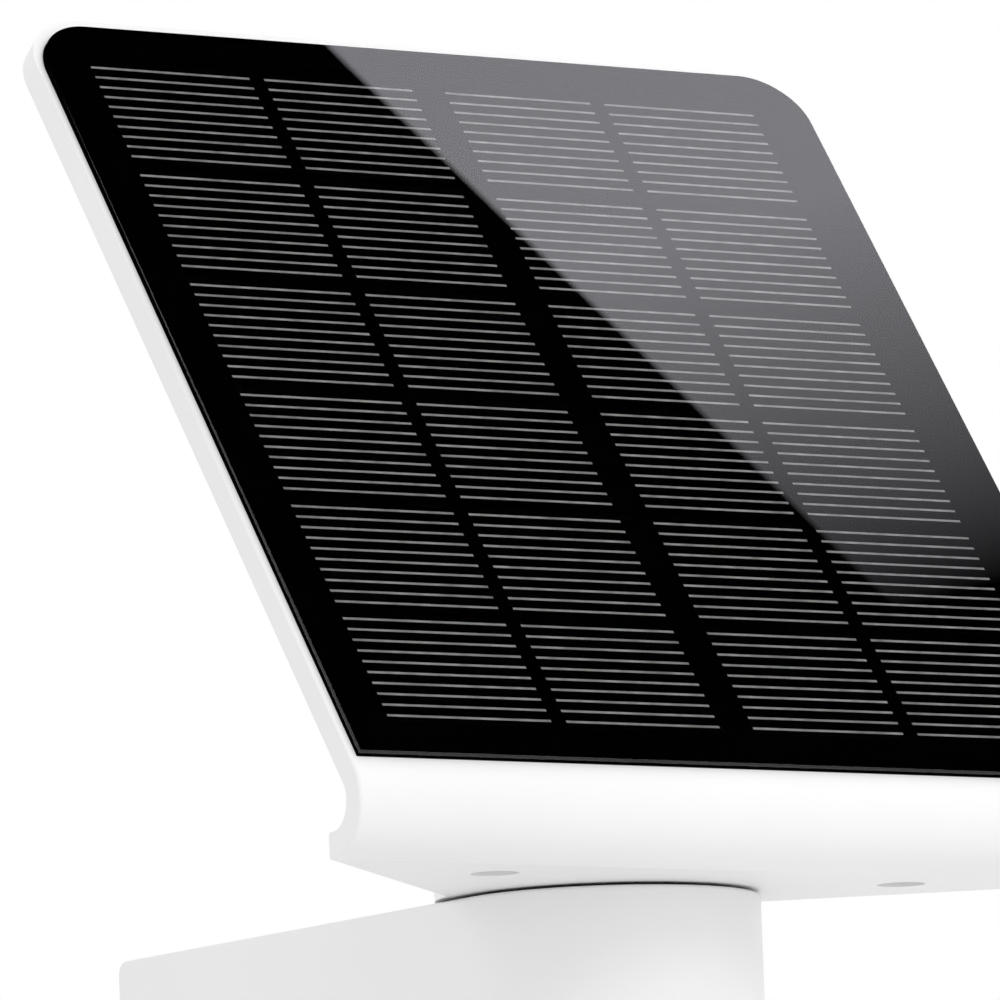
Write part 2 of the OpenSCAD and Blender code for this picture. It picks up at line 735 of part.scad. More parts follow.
module bracket_base() {
    color(white) difference() {
        union() {
            bracket_body(foot_z, floor_z, true, false);
            on_axis(floor_z - eps) cylinder(pan_boss_h + eps, r = pan_bush_r + pan_boss_wall);
            for (s = [-1, 1], y = board_post_y)
                translate([s * board_post_x, y, floor_z - eps])
                    cylinder(board_z - floor_z + eps, r = board_post_r);
            translate([-door_w / 2 - 1.5, door_front - 1.5, floor_z - eps])
                cube([door_w + 3, door_l + door_swing + 3, port_face_t + eps]);
        }
        on_axis(foot_z - eps) cylinder(bracket_h, r = pan_bush_r);
        // groove of the seal
        translate([0, 0, floor_z - seal_d]) linear_extrude(seal_d + eps) difference() {
            bracket_2d(seal_in, seal_in);
            bracket_2d(seal_in + seal_w, seal_in + seal_w);
        }
        at_base_screws() {
            translate([0, 0, -eps]) cylinder(base_head_deep + eps, r = base_head_r + 0.2);
            cylinder(bracket_h, r = base_screw_r + 0.2);
        }
        // board screws
        for (s = [-1, 1], y = board_post_y)
            translate([s * board_post_x, y, board_z - 8]) cylinder(9, r = 1);
        // speaker grille
        translate([0, speaker_y, foot_z - eps]) grille_holes() cylinder(base_t + 1, r = grille_r);
        // power button and status light
        translate([button_x, button_y, foot_z - eps]) cylinder(bracket_h, r = button_r + button_play);
        translate([-button_x, button_y, foot_z - eps]) cylinder(bracket_h, r = status_r);
        // door recess, hinge and ports
        translate([-door_w / 2 - door_play, door_front - door_play, foot_z - eps])
            cube([door_w + 2 * door_play, door_l + door_swing + door_play, base_t + eps]);
        translate([-door_w / 2 - door_pin_in, door_hinge_y, door_hinge_z]) along_x()
            cylinder(door_w + 2 * door_pin_in, r = door_pin_r);
        translate([-door_knuckle_l / 2 - door_play, door_hinge_y, door_hinge_z]) along_x()
            cylinder(door_knuckle_l + 2 * door_play, r = door_knuckle_r + door_play);
        translate([usb_x - usb_w / 2 - 0.2, port_y - usb_t / 2 - 0.2, floor_z - eps])
            cube([usb_w + 0.4, usb_t + 0.4, 2 * port_face_t]);
        translate([card_x - card_w / 2 - 0.3, port_y - card_t / 2 - 0.3, floor_z - eps])
            cube([card_w + 0.6, card_t + 0.6, 2 * port_face_t]);
    }
}

module base_screws() {
    color(steel) at_base_screws() translate([0, 0, base_head_deep])
        screw(base_screw_r, base_screw_l, base_head_r, base_head_deep - 0.2);
}

module base_seal() {
    color(black) translate([0, 0, floor_z - seal_d]) linear_extrude(seal_d) difference() {
        bracket_2d(seal_in, seal_in);
        bracket_2d(seal_in + seal_w, seal_in + seal_w);
    }
}

module wall_plate() {
    w = bracket_w - 2 * plate_in - 2 * seat_play;
    h = top_z - floor_z - 2 * plate_in - 2 * seat_play;
    low = floor_z + plate_in + seat_play;
    color(steel) difference() {
        union() {
            translate([-w / 2, -wall_plate_t, low]) cube([w, wall_plate_t, h]);
            both_x() translate([w / 2 - tab_t, -plate_pocket + seat_play, -6])
                cube([tab_t, plate_pocket - seat_play, 12]);
        }
        at_wall_screws() translate([0, -plate_pocket, 0]) along_y()
            cylinder(2 * plate_pocket, r = wall_hole_r);
        both_x() translate([0, lock_y, 0]) along_x() cylinder(bracket_w, r = lock_r - 0.3);
    }
}

module lock_screws() {
    tip = bracket_r - plate_in - seat_play - tab_t;
    color(steel) both_x() translate([bracket_r - lock_head_t, lock_y, 0]) rotate([0, -90, 0])
        screw(lock_r - 0.3, bracket_r - lock_head_t - tip, lock_head_r, lock_head_t - 0.2);
}

module swivel_washer() {
    color(black) on_axis(top_z) tube(washer_r, spigot_r + 0.5, swivel_gap - 0.1);
}

module swivel_bush() {
    color([0.8, 0.8, 0.78]) on_axis(bush_low) difference() {
        union() {
            cylinder(top_z - bush_low, r = bush_r);
            translate([0, 0, top_z - bush_low - bush_flange_t]) cylinder(bush_flange_t, r = bush_flange_r);
        }
        translate([0, 0, -eps]) cylinder(bracket_h, r = spigot_r + turn_play);
    }
}

module pan_bush() {
    color([0.8, 0.8, 0.78]) on_axis(foot_z) difference() {
        union() {
            cylinder(base_t + pan_boss_h + pan_lip_t, r = pan_bush_r);
            translate([0, 0, base_t + pan_boss_h]) cylinder(pan_lip_t, r = pan_bush_r + 2);
        }
        translate([0, 0, -eps]) cylinder(bracket_h, r = pan_r + turn_play);
    }
}

module at_cells()
    for (s = [-1, 1]) translate([s * cell_x, holder_back - holder_l + holder_wall + 1.5, cell_z]) children();

module battery_cells() {
    color([0.2, 0.45, 0.7]) at_cells() along_y() {
        cylinder(battery_l - 1.2, r = cell_r);
        translate([0, 0, battery_l - 1.2]) cylinder(1.2, r = 3);
    }
}

module battery_holder() {
    w = 2 * (cell_x + cell_r + holder_wall + 0.2);
    color(black) difference() {
        translate([-w / 2, holder_back - holder_l, holder_floor])
            cube([w, holder_l, holder_wall + cell_r]);
        at_cells() translate([0, -0.5, 0]) along_y() cylinder(battery_l + 1, r = cell_r + 0.2);
        translate([-cell_x, holder_back - holder_l + holder_wall + 1, cell_z])
            cube([2 * cell_x, battery_l + 1, cell_r]);
    }
}

module main_board() {
    color(pcb) difference() {
        union() {
            translate([-board_w / 2, board_neck, board_z]) cube([board_w, board_back - board_neck, pcb_t]);
            translate([-neck_w / 2, board_front, board_z])
                cube([neck_w, board_neck - board_front + eps, pcb_t]);
        }
        for (s = [-1, 1], y = board_post_y)
            translate([s * board_post_x, y, board_z - eps]) cylinder(2 * pcb_t, r = 1.2);
    }
}

module board_chips() {
    // [x, y, width, length, height] of each part under the board
    chips = [[-9, -50, 14, 14, 1.4], [10, -54, 9, 11, 1], [9, -72, 12, 8, 1.2], [-11, -74, 16, 12, 2.2],
             [-4, -24, 10, 6, 1.6]];
    color([0.12, 0.12, 0.13]) {
        for (c = chips)
            translate([c[0] - c[2] / 2, c[1] - c[3] / 2, board_z - c[4]]) cube([c[2], c[3], c[4]]);
        for (x = [5, 10]) translate([x, -20, board_z - 4]) cylinder(4, r = 2);
    }
}

module board_screws() {
    color(steel) for (s = [-1, 1], y = board_post_y)
        translate([s * board_post_x, y, board_z + pcb_t]) mirror([0, 0, 1]) screw(1, 7, 2.1, 1.3);
}

module panel_socket() {
    color([0.9, 0.9, 0.85]) on_axis(board_z + pcb_t) translate([-4.5, -3.5, 0])
        cube([9, 7, lead_end - 0.3 - board_z - pcb_t]);
}

module wifi_antenna() {
    color([0.75, 0.5, 0.2]) translate([wall_t - bracket_r, -95, 0]) cube([0.4, 40, 12]);
}

module pir_lens() {
    color(white) at_pir() difference() {
        union() {
            intersection() {
                translate([0, pir_centre, 0]) sphere(pir_dome_r);
                translate([0, pir_front - pir_dome_r, 0]) along_y() cylinder(pir_dome_r - 1, r = pir_r);
            }
            translate([0, pir_front - 1, 0]) along_y() cylinder(pir_skirt, r = pir_r);
        }
        intersection() {
            translate([0, pir_centre, 0]) sphere(pir_dome_r - pir_wall);
            translate([0, pir_front - pir_dome_r, 0]) along_y() cylinder(pir_dome_r, r = pir_r - pir_wall);
        }
        translate([0, pir_front - 0.5, 0]) along_y() cylinder(pir_skirt, r = pir_r - pir_wall);
    }
}

module pir_bezel() {
    color(white) translate([0, pir_front - 1, 0]) at_pir() along_y() difference() {
        cylinder(pir_skirt, r = pir_r + pir_bezel_w - 0.05);
        translate([0, 0, -eps]) cylinder(pir_skirt + 1, r = pir_r);
    }
}

module pir_sensor() {
    color(steel) translate([0, pir_front + 1.5, 0]) at_pir() along_y() {
        cylinder(4.6, r = 4.6);
        translate([0, 0, 4.5]) cylinder(1.2, r = pir_r - 1);
    }
}

module speaker() {
    color([0.15, 0.15, 0.16]) translate([0, speaker_y, floor_z]) {
        tube(speaker_r, speaker_r - 2, 1.2);
        translate([0, 0, 1.2]) cylinder(1.2, r = speaker_r);
        translate([0, 0, 2.4 - eps]) cylinder(speaker_t - 2.4, r = speaker_r - 4);
    }
}

module port_board() {
    color(pcb) translate([-door_w / 2, port_y + usb_t / 2, floor_z + port_face_t])
        cube([door_w, 1.2, board_z - floor_z - port_face_t]);
}

module usb_port() {
    color(steel) translate([usb_x, port_y, floor_z]) difference() {
        translate([-usb_w / 2, -usb_t / 2, 0]) cube([usb_w, usb_t, 8]);
        translate([0.4 - usb_w / 2, 0.4 - usb_t / 2, -eps]) cube([usb_w - 0.8, usb_t - 0.8, 6]);
    }
}

module card_socket() {
    color([0.7, 0.7, 0.7]) translate([card_x, port_y, floor_z + port_face_t]) difference() {
        translate([-card_w / 2 - 0.6, -1.2, 0]) cube([card_w + 1.2, usb_t / 2 + 1.2, 12.3]);
        translate([-card_w / 2 - 0.1, -card_t / 2 - 0.05, -eps]) cube([card_w + 0.2, card_t + 0.1, 12]);
    }
}

module memory_card() {
    color(black) translate([card_x - card_w / 2, port_y - card_t / 2, floor_z + 0.2])
        cube([card_w, card_t, 12.8]);
}

module status_lens() {
    color([0.6, 0.8, 1]) translate([-button_x, button_y, foot_z]) {
        cylinder(base_t, r = status_r);
        translate([0, 0, base_t]) cylinder(1, r = status_r + 1);
        translate([0, 0, base_t]) cylinder(board_z - floor_z, r = status_r);
    }
}

module power_switch() {
    low = floor_z + 0.1 + button_lip + button_travel + 0.05;
    color(black) translate([button_x, button_y, 0]) {
        translate([-3, -3, board_z - 5]) cube([6, 6, 5]);
        translate([0, 0, low]) cylinder(board_z - 5 - low + eps, r = 1.7);
    }
}

module door_pin() {
    color(steel) translate([-door_w / 2 - door_pin_in, door_hinge_y, door_hinge_z]) along_x()
        cylinder(door_w + 2 * door_pin_in, r = door_pin_r);
}

module power_button() {
    color([0.3, 0.3, 0.32]) translate([button_x, button_y, foot_z - button_rise]) difference() {
        union() {
            cylinder(base_t + button_rise + 0.1, r = button_r);
            translate([0, 0, base_t + button_rise + 0.1]) cylinder(button_lip, r = button_r + button_flange);
        }
        translate([0, 0, -9.6]) sphere(10);
    }
}

module port_door() {
    color(white) difference() {
        union() {
            translate([-door_w / 2, door_front, foot_z]) cube([door_w, door_l - 1.6, door_t]);
            translate([-door_knuckle_l / 2, door_hinge_y - 3, foot_z]) cube([door_knuckle_l, 3, door_t]);
            translate([-door_knuckle_l / 2, door_hinge_y, door_hinge_z]) along_x()
                cylinder(door_knuckle_l, r = door_knuckle_r);
        }
        translate([-door_w, door_hinge_y, door_hinge_z]) along_x()
            cylinder(2 * door_w, r = door_pin_r + turn_play);
        translate([-4, door_front - eps, foot_z - eps]) cube([8, 1.2, 0.8]);
    }
}

module yoke_arms_2d() {
    translate([0, -arm_r]) square([yoke_low + 2 - ball_z, 2 * arm_r]);
    circle(arm_r);
}

module pan_yoke() {
    color(white) on_axis() difference() {
        union() {
            translate([0, 0, yoke_low]) rotate_extrude() {
                square([yoke_r - 2, yoke_t]);
                translate([0, 2]) square([yoke_r, yoke_t - 2]);
                translate([yoke_r - 2, 2]) circle(2);
            }
            intersection() {
                both_x() translate([arm_in, 0, ball_z]) rotate([0, -90, 0]) mirror([0, 0, 1])
                    linear_extrude(yoke_r - arm_in) yoke_arms_2d();
                translate([0, 0, ball_z - arm_r]) cylinder(yoke_low - ball_z + arm_r + 4, r = yoke_r);
            }
        }
        translate([0, 0, yoke_top - pan_flange_t]) cylinder(yoke_t, r = pan_flange_r + seat_play);
        translate([0, 0, yoke_low - eps]) cylinder(yoke_t, r = pan_bore);
        for (a = [90:120:330]) rotate(a) translate([pan_screw_at, 0, yoke_low - eps]) {
            cylinder(yoke_t, r = 1.3);
            cylinder(pan_head_deep + eps, r = 2.5);
        }
        both_x() translate([0, 0, ball_z]) along_x() {
            cylinder(yoke_r + 1, r = tilt_pin_r + turn_play);
            translate([0, 0, cap_seat]) cylinder(yoke_r, r = cap_r + 0.1);
        }
    }
}

module pan_spigot() {
    color([0.2, 0.2, 0.21]) on_axis() difference() {
        union() {
            translate([0, 0, yoke_top - pan_flange_t]) cylinder(pan_flange_t, r = pan_flange_r);
            translate([0, 0, yoke_top - pan_flange_t]) cylinder(pan_top - yoke_top + pan_flange_t, r = pan_r);
        }
        translate([0, 0, yoke_top - pan_flange_t - eps]) cylinder(bracket_h, r = pan_bore);
        for (a = [90:120:330]) rotate(a)
            translate([pan_screw_at, 0, yoke_top - pan_flange_t - eps]) cylinder(2, r = 1.1);
    }
}

module pan_screws() {
    color(steel) on_axis() for (a = [90:120:330])
        rotate(a) translate([pan_screw_at, 0, yoke_low + pan_head_deep])
            screw(1.1, yoke_t - pan_flange_t + 0.2, 2.3, pan_head_deep - 0.2);
}

module pan_nut() {
    color([0.2, 0.2, 0.21]) on_axis(pan_top - 0.8 - pan_nut_t) difference() {
        cylinder(pan_nut_t, r = pan_nut_r, $fn = 6);
        translate([0, 0, -eps]) cylinder(2 * pan_nut_t, r = pan_r);
    }
}

module yoke_caps() {
    color([0.35, 0.36, 0.38]) on_axis(ball_z) both_x() translate([cap_seat, 0, 0]) along_x() {
        cylinder(1.3, r = cap_r);
        translate([0, 0, 1.3]) cylinder(0.6, r = cap_r - 1.2);
    }
}

// The ball's hollow body: two flats for the yoke and a round seat for the window at the front
module ball_body() {
    difference() {
        intersection() {
            sphere(ball_r);
            translate([-ball_flat, -ring_seat, -ball_r])
                cube([2 * ball_flat, ring_seat + ball_r, 2 * ball_r]);
        }
        intersection() {
            sphere(ball_r - ball_wall);
            translate([ball_wall - ball_flat, -ball_r, -ball_r])
                cube([2 * (ball_flat - ball_wall), 2 * ball_r, 2 * ball_r]);
        }
    }
    for (s = [-1, 1]) intersection() {
        sphere(ball_r - ball_wall / 2);
        translate([0, split_y - ball_post_low, s * ball_screw_z]) {
            along_y() cylinder(ball_post_l, r = ball_post_r);
            translate([-ball_post_r, 0, s > 0 ? 0 : -ball_r]) cube([2 * ball_post_r, ball_post_l, ball_r]);
        }
    }
}

module ball_front() {
    color(white) in_ball() difference() {
        intersection() {
            ball_body();
            translate([-ball_r, -ball_r, -ball_r]) cube([2 * ball_r, ball_r + split_y, 2 * ball_r]);
        }
        translate([0, -ball_r, 0]) along_y() cylinder(ball_r - 8, r = ring_r + 0.05);
        along_x() translate([0, 0, -ball_r]) cylinder(2 * ball_r, r = tilt_pin_r);
        for (s = [-1, 1]) translate([0, split_y - 6, s * ball_screw_z]) along_y() cylinder(12, r = 1.1);
    }
}

module ball_rear() {
    color(white) in_ball() difference() {
        intersection() {
            ball_body();
            translate([-ball_r, split_y, -ball_r]) cube([2 * ball_r, ball_r, 2 * ball_r]);
        }
        along_x() translate([0, 0, -ball_r]) cylinder(2 * ball_r, r = tilt_pin_r);
        for (s = [-1, 1]) translate([0, 0, s * ball_screw_z]) along_y() {
            cylinder(ball_r, r = 1.3);
            translate([0, 0, split_y + 6]) cylinder(ball_r, r = 2.5);
        }
    }
}

module ball_screws() {
    color(steel) in_ball() for (s = [-1, 1])
        translate([0, split_y + 6, s * ball_screw_z]) rotate([90, 0, 0]) screw(1.1, 11.5, 2.4, 1.5);
}

module tilt_pins() {
    color(steel) in_ball() both_x() translate([ball_flat - ball_wall - 3, 0, 0]) along_x() {
        cylinder(cap_seat - 0.2 - ball_flat + ball_wall + 3, r = tilt_pin_r);
        cylinder(2.9, r = tilt_pin_r + 2);
    }
}

module window_ring() {
    color(black) in_ball() translate([0, -ring_seat - 1, 0]) along_y() difference() {
        cylinder(4, r = ring_r);
        translate([0, 0, -eps]) cylinder(window_t + window_deep + eps, r = window_r + 0.05);
        cylinder(5, r = window_r - 1);
    }
}

module lens_window() {
    color([0.1, 0.1, 0.12, 0.6]) in_ball() translate([0, -ring_seat - 1, 0]) along_y()
        translate([0, 0, window_deep]) cylinder(window_t, r = window_r);
}

module lens_barrel() {
    color(black) in_ball() translate([0, 1.4 - ring_seat, 0]) along_y() difference() {
        union() {
            cylinder(13, r = barrel_r);
            translate([-9, -9, 11.4]) cube([18, 18, 1.6]);
        }
        translate([0, 0, -eps]) cylinder(2, r1 = barrel_r - 1, r2 = barrel_r - 2.5);
        translate([0, 0, -eps]) cylinder(14, r = barrel_r - 2.6);
    }
}

module lens_elements() {
    color([0.3, 0.35, 0.5, 0.6]) in_ball() translate([0, 1.4 - ring_seat, 0]) along_y() {
        translate([0, 0, 2.5]) intersection() {
            cylinder(3, r = barrel_r - 2.6);
            translate([0, 0, 6]) sphere(6);
        }
        translate([0, 0, 8]) cylinder(2, r = barrel_r - 2.6);
    }
}

module lamp_board() {
    color(pcb) in_ball() {
        translate([0, lamp_y, 0]) along_y() tube(window_r, barrel_r + 0.4, lamp_board_t);
        translate([-10, 14.4 - ring_seat, -10]) cube([20, 1.4, 20]);
    }
}

module camera_lamps() {
    color([0.9, 0.9, 0.7]) in_ball() for (i = [0:lamp_count - 1])
        rotate([0, (i + 0.5) * 360 / lamp_count, 0]) translate([lamp_ring, 1.8 - ring_seat, 0]) along_y()
            cylinder(lamp_y + ring_seat - 1.8, r = lamp_r);
}

head_shell();
panel_back_cover();
panel_back_screws();
solar_glass();
panel_gasket();
cell_board();
solar_cells();
junction_block();
tongue_cover();
tongue_screws();
swivel_spigot();
spigot_screws();
wave_washer();
spigot_nut();
solar_lead();
lead_grommet();
bracket_shell();
bracket_base();
base_screws();
base_seal();
wall_plate();
lock_screws();
swivel_washer();
swivel_bush();
pan_bush();
battery_cells();
battery_holder();
main_board();
board_chips();
board_screws();
panel_socket();
wifi_antenna();
pir_lens();
pir_bezel();
pir_sensor();
speaker();
port_board();
usb_port();
card_socket();
memory_card();
status_lens();
power_switch();
door_pin();
power_button();
port_door();
pan_yoke();
pan_spigot();
pan_screws();
pan_nut();
yoke_caps();
ball_front();
ball_rear();
ball_screws();
tilt_pins();
window_ring();
lens_window();
lens_barrel();
lens_elements();
lamp_board();
camera_lamps();
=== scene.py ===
import json
import math

import bmesh
import bpy
from mathutils import Matrix, Vector


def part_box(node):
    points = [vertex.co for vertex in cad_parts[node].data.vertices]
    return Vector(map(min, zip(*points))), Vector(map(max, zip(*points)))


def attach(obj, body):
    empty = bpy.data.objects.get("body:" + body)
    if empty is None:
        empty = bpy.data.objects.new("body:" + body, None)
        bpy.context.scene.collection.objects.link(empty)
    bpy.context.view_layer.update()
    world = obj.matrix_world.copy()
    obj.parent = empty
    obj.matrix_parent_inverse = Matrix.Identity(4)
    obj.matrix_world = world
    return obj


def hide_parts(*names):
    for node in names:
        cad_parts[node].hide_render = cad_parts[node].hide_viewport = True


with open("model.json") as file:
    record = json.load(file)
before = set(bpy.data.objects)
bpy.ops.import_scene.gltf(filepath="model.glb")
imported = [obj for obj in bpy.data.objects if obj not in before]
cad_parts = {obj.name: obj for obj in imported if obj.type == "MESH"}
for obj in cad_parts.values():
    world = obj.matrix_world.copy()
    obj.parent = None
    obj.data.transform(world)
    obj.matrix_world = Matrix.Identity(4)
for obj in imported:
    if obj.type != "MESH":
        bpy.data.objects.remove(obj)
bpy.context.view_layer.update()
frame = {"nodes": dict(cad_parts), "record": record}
scene = bpy.context.scene
mm = 0.001


view = {
    "place": (-1.1378, -1.8929, -0.17422),
    "right": (0.84571, -0.53252, -0.03451),
    "down": (0.04179, 0.13056, -0.99056),
    "forward": (0.53200, 0.83629, 0.13267),
    "lens": 380.68,
    "sensor": 36.0,
}


def makeCamera():
    data = bpy.data.cameras.new("camera")
    data.lens = view["lens"]
    data.sensor_width = view["sensor"]
    data.clip_end = 50
    camera = bpy.data.objects.new("camera", data)
    right, down, forward = (Vector(view[k]) for k in ("right", "down", "forward"))
    turn = Matrix((right, -down, -forward)).transposed().to_4x4()
    camera.matrix_world = Matrix.Translation(view["place"]) @ turn
    scene.collection.objects.link(camera)
    scene.camera = camera


makeCamera()
print("camera placed")


def newMaterial(name):
    material = bpy.data.materials.new(name)
    material.use_nodes = True
    nodes = material.node_tree.nodes
    shader = nodes["Principled BSDF"]
    place = nodes.new("ShaderNodeTexCoord")
    return material, nodes, material.node_tree.links, shader, place.outputs["Object"]


def noise(nodes, links, place, scale, detail=3.0):
    texture = nodes.new("ShaderNodeTexNoise")
    texture.inputs["Scale"].default_value = scale
    texture.inputs["Detail"].default_value = detail
    links.new(place, texture.inputs["Vector"])
    return texture.outputs["Fac"]


def ramp(nodes, links, fac, low, high, start=0.3, end=0.7):
    node = nodes.new("ShaderNodeMapRange")
    node.inputs["From Min"].default_value = start
    node.inputs["From Max"].default_value = end
    node.inputs["To Min"].default_value = low
    node.inputs["To Max"].default_value = high
    links.new(fac, node.inputs["Value"])
    return node.outputs["Result"]


def colourRamp(nodes, links, fac, low, high):
    node = nodes.new("ShaderNodeValToRGB")
    node.color_ramp.elements[0].position = 0.3
    node.color_ramp.elements[1].position = 0.7
    node.color_ramp.elements[0].color = (*low, 1)
    node.color_ramp.elements[1].color = (*high, 1)
    links.new(fac, node.inputs["Fac"])
    return node.outputs["Color"]


def bump(nodes, links, height, shader, strength, distance):
    node = nodes.new("ShaderNodeBump")
    node.inputs["Strength"].default_value = strength
    node.inputs["Distance"].default_value = distance
    links.new(height, node.inputs["Height"])
    links.new(node.outputs["Normal"], shader.inputs["Normal"])


def mouldedPlastic(name, low, high, roughLow, roughHigh, grain=1400):
    # broad faint mottling for the colour and a fine spark-eroded grain
    material, nodes, links, shader, place = newMaterial(name)
    broad = noise(nodes, links, place, 18)
    fine = noise(nodes, links, place, grain, 2.0)
    links.new(colourRamp(nodes, links, broad, low, high), shader.inputs["Base Color"])
    links.new(ramp(nodes, links, broad, roughLow, roughHigh), shader.inputs["Roughness"])
    bump(nodes, links, fine, shader, 0.35, 0.02 * mm)
    return material


def brushedMetal(name, low, high, roughLow, roughHigh):
    # fine level streaks
    material, nodes, links, shader, place = newMaterial(name)
    mapping = nodes.new("ShaderNodeMapping")
    mapping.inputs["Scale"].default_value = (1, 1, 12)
    links.new(place, mapping.inputs["Vector"])
    streaks = noise(nodes, links, mapping.outputs["Vector"], 500, 4.0)
    links.new(colourRamp(nodes, links, streaks, low, high), shader.inputs["Base Color"])
    links.new(ramp(nodes, links, streaks, roughLow, roughHigh), shader.inputs["Roughness"])
    shader.inputs["Metallic"].default_value = 1.0
    bump(nodes, links, streaks, shader, 0.2, 0.01 * mm)
    return material


def clearGlass(name, tint, rough=0.02, ior=1.5):
    material, nodes, links, shader, place = newMaterial(name)
    haze = noise(nodes, links, place, 30)
    links.new(colourRamp(nodes, links, haze, [c * 0.97 for c in tint], tint), shader.inputs["Base Color"])
    links.new(ramp(nodes, links, haze, rough * 0.6, rough * 1.4), shader.inputs["Roughness"])
    shader.inputs["Transmission Weight"].default_value = 1.0
    shader.inputs["IOR"].default_value = ior
    return material


def paneGlass(name):
    # polished solid glass with the faintest uneven polish
    material, nodes, links, shader, place = newMaterial(name)
    smear = noise(nodes, links, place, 25)
    links.new(ramp(nodes, links, smear, 0.001, 0.005), shader.inputs["Roughness"])
    links.new(colourRamp(nodes, links, smear, (0.97, 0.98, 0.98), (1, 1, 1)), shader.inputs["Base Color"])
    shader.inputs["Transmission Weight"].default_value = 1.0
    shader.inputs["IOR"].default_value = 1.5
    return material


def clearBond(name):
    # resin with the glass's own index, so that nothing shows at this face
    material, nodes, links, shader, place = newMaterial(name)
    cloud = noise(nodes, links, place, 30)
    links.new(colourRamp(nodes, links, cloud, (0.9, 0.9, 0.9), (1, 1, 1)), shader.inputs["Base Color"])
    shader.inputs["Alpha"].default_value = 0.0
    return material


def printedSilver(name):
    # silver paste, thinner in places
    material, nodes, links, shader, place = newMaterial(name)
    paste = noise(nodes, links, place, 260, 2.0)
    links.new(colourRamp(nodes, links, paste, (0.30, 0.30, 0.30), (0.56, 0.56, 0.56)),
              shader.inputs["Base Color"])
    links.new(ramp(nodes, links, paste, 0.4, 0.5), shader.inputs["Roughness"])
    return material


def circuitBoard(name):
    material, nodes, links, shader, place = newMaterial(name)
    cells = nodes.new("ShaderNodeTexVoronoi")
    cells.feature = "DISTANCE_TO_EDGE"
    cells.inputs["Scale"].default_value = 320
    links.new(place, cells.inputs["Vector"])
    tracks = ramp(nodes, links, cells.outputs["Distance"], 0.0, 1.0, 0.02, 0.05)
    links.new(colourRamp(nodes, links, tracks, (0.02, 0.12, 0.06), (0.01, 0.07, 0.035)),
              shader.inputs["Base Color"])
    shader.inputs["Roughness"].default_value = 0.35
    bump(nodes, links, tracks, shader, 0.3, 0.03 * mm)
    return material


def deepBlack(name, low, high, scale):
    # matt black behind the glass, with a faint crystal pattern
    material, nodes, links, shader, place = newMaterial(name)
    grain = noise(nodes, links, place, scale, 4.0)
    links.new(colourRamp(nodes, links, grain, low, high), shader.inputs["Base Color"])
    shader.inputs["Roughness"].default_value = 0.6
    shader.inputs["Specular IOR Level"].default_value = 0.0
    return material


paint = {
    "white_housing": mouldedPlastic("whiteHousing", (0.80, 0.80, 0.80), (0.83, 0.83, 0.83), 0.30, 0.38),
    "white_cover": mouldedPlastic("whiteCover", (0.78, 0.78, 0.785), (0.81, 0.81, 0.815), 0.34, 0.42),
    "panel_glass": paneGlass("panelGlass"),
    "clear_bond": clearBond("clearBond"),
    "black_plastic": mouldedPlastic("blackPlastic", (0.006, 0.006, 0.007), (0.01, 0.01, 0.011), 0.4, 0.55),
    "black_rubber": mouldedPlastic("blackRubber", (0.012, 0.012, 0.012), (0.02, 0.02, 0.02), 0.6, 0.8, 900),
    "cell_silicon": deepBlack("cellSilicon", (0.0008, 0.0008, 0.0010), (0.0020, 0.0020, 0.0026), 160),
    "panel_black": deepBlack("panelBlack", (0.0006, 0.0006, 0.0007), (0.0012, 0.0012, 0.0013), 40),
    "dark_nylon": mouldedPlastic("darkNylon", (0.03, 0.03, 0.032), (0.05, 0.05, 0.052), 0.45, 0.6),
    "acetal": mouldedPlastic("acetal", (0.7, 0.7, 0.67), (0.76, 0.76, 0.73), 0.35, 0.45),
    "steel": brushedMetal("steel", (0.55, 0.56, 0.58), (0.68, 0.69, 0.70), 0.25, 0.4),
    "spring_steel": brushedMetal("springSteel", (0.45, 0.46, 0.48), (0.62, 0.63, 0.64), 0.2, 0.35),
    "circuit_board": circuitBoard("circuitBoard"),
    "chip_plastic": mouldedPlastic("chipPlastic", (0.015, 0.015, 0.016), (0.03, 0.03, 0.032),
                                   0.5, 0.65, 2500),
    "battery_sleeve": mouldedPlastic("batterySleeve", (0.04, 0.14, 0.4), (0.05, 0.17, 0.46), 0.25, 0.35),
    "antenna_film": brushedMetal("antennaFilm", (0.5, 0.28, 0.08), (0.6, 0.36, 0.12), 0.3, 0.5),
    "sensor_lens": mouldedPlastic("sensorLens", (0.72, 0.72, 0.70), (0.78, 0.78, 0.76), 0.3, 0.4),
    "sensor_can": brushedMetal("sensorCan", (0.6, 0.56, 0.48), (0.7, 0.66, 0.58), 0.2, 0.3),
    "grey_plastic": mouldedPlastic("greyPlastic", (0.08, 0.083, 0.09), (0.1, 0.103, 0.11), 0.4, 0.5),
    "light_pipe": clearGlass("lightPipe", (0.8, 0.9, 1.0), 0.15),
    "dark_window": clearGlass("darkWindow", (0.12, 0.12, 0.13)),
    "lens_glass": clearGlass("lensGlass", (0.55, 0.6, 0.85), 0.01, 1.6),
    "lamp_dome": clearGlass("lampDome", (0.95, 0.93, 0.8), 0.1),
    "white_connector": mouldedPlastic("whiteConnector", (0.7, 0.7, 0.64), (0.78, 0.78, 0.72), 0.4, 0.5),
    "finger_silver": printedSilver("fingerSilver"),
}
behindGlass = ("cell_board", "panel_gasket")  # their black shows through the pane


def paintNodes():
    for entry in frame["record"]["subparts"]:
        node = frame["nodes"][entry["node"]]
        node.data.materials.clear()
        slot = "panel_black" if entry["node"] in behindGlass else entry["material_slot"]
        node.data.materials.append(paint[slot])


paintNodes()
print("materials made")


def finish(piece, body, slot, *replaced):
    sides = [face.material_index for face in piece.data.polygons]
    piece.data.materials.clear()
    piece.data.materials.append(paint[slot])
    piece.data.polygons.foreach_set("material_index", sides)
    if replaced:
        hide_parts(*replaced)
    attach(piece, body)
    return piece


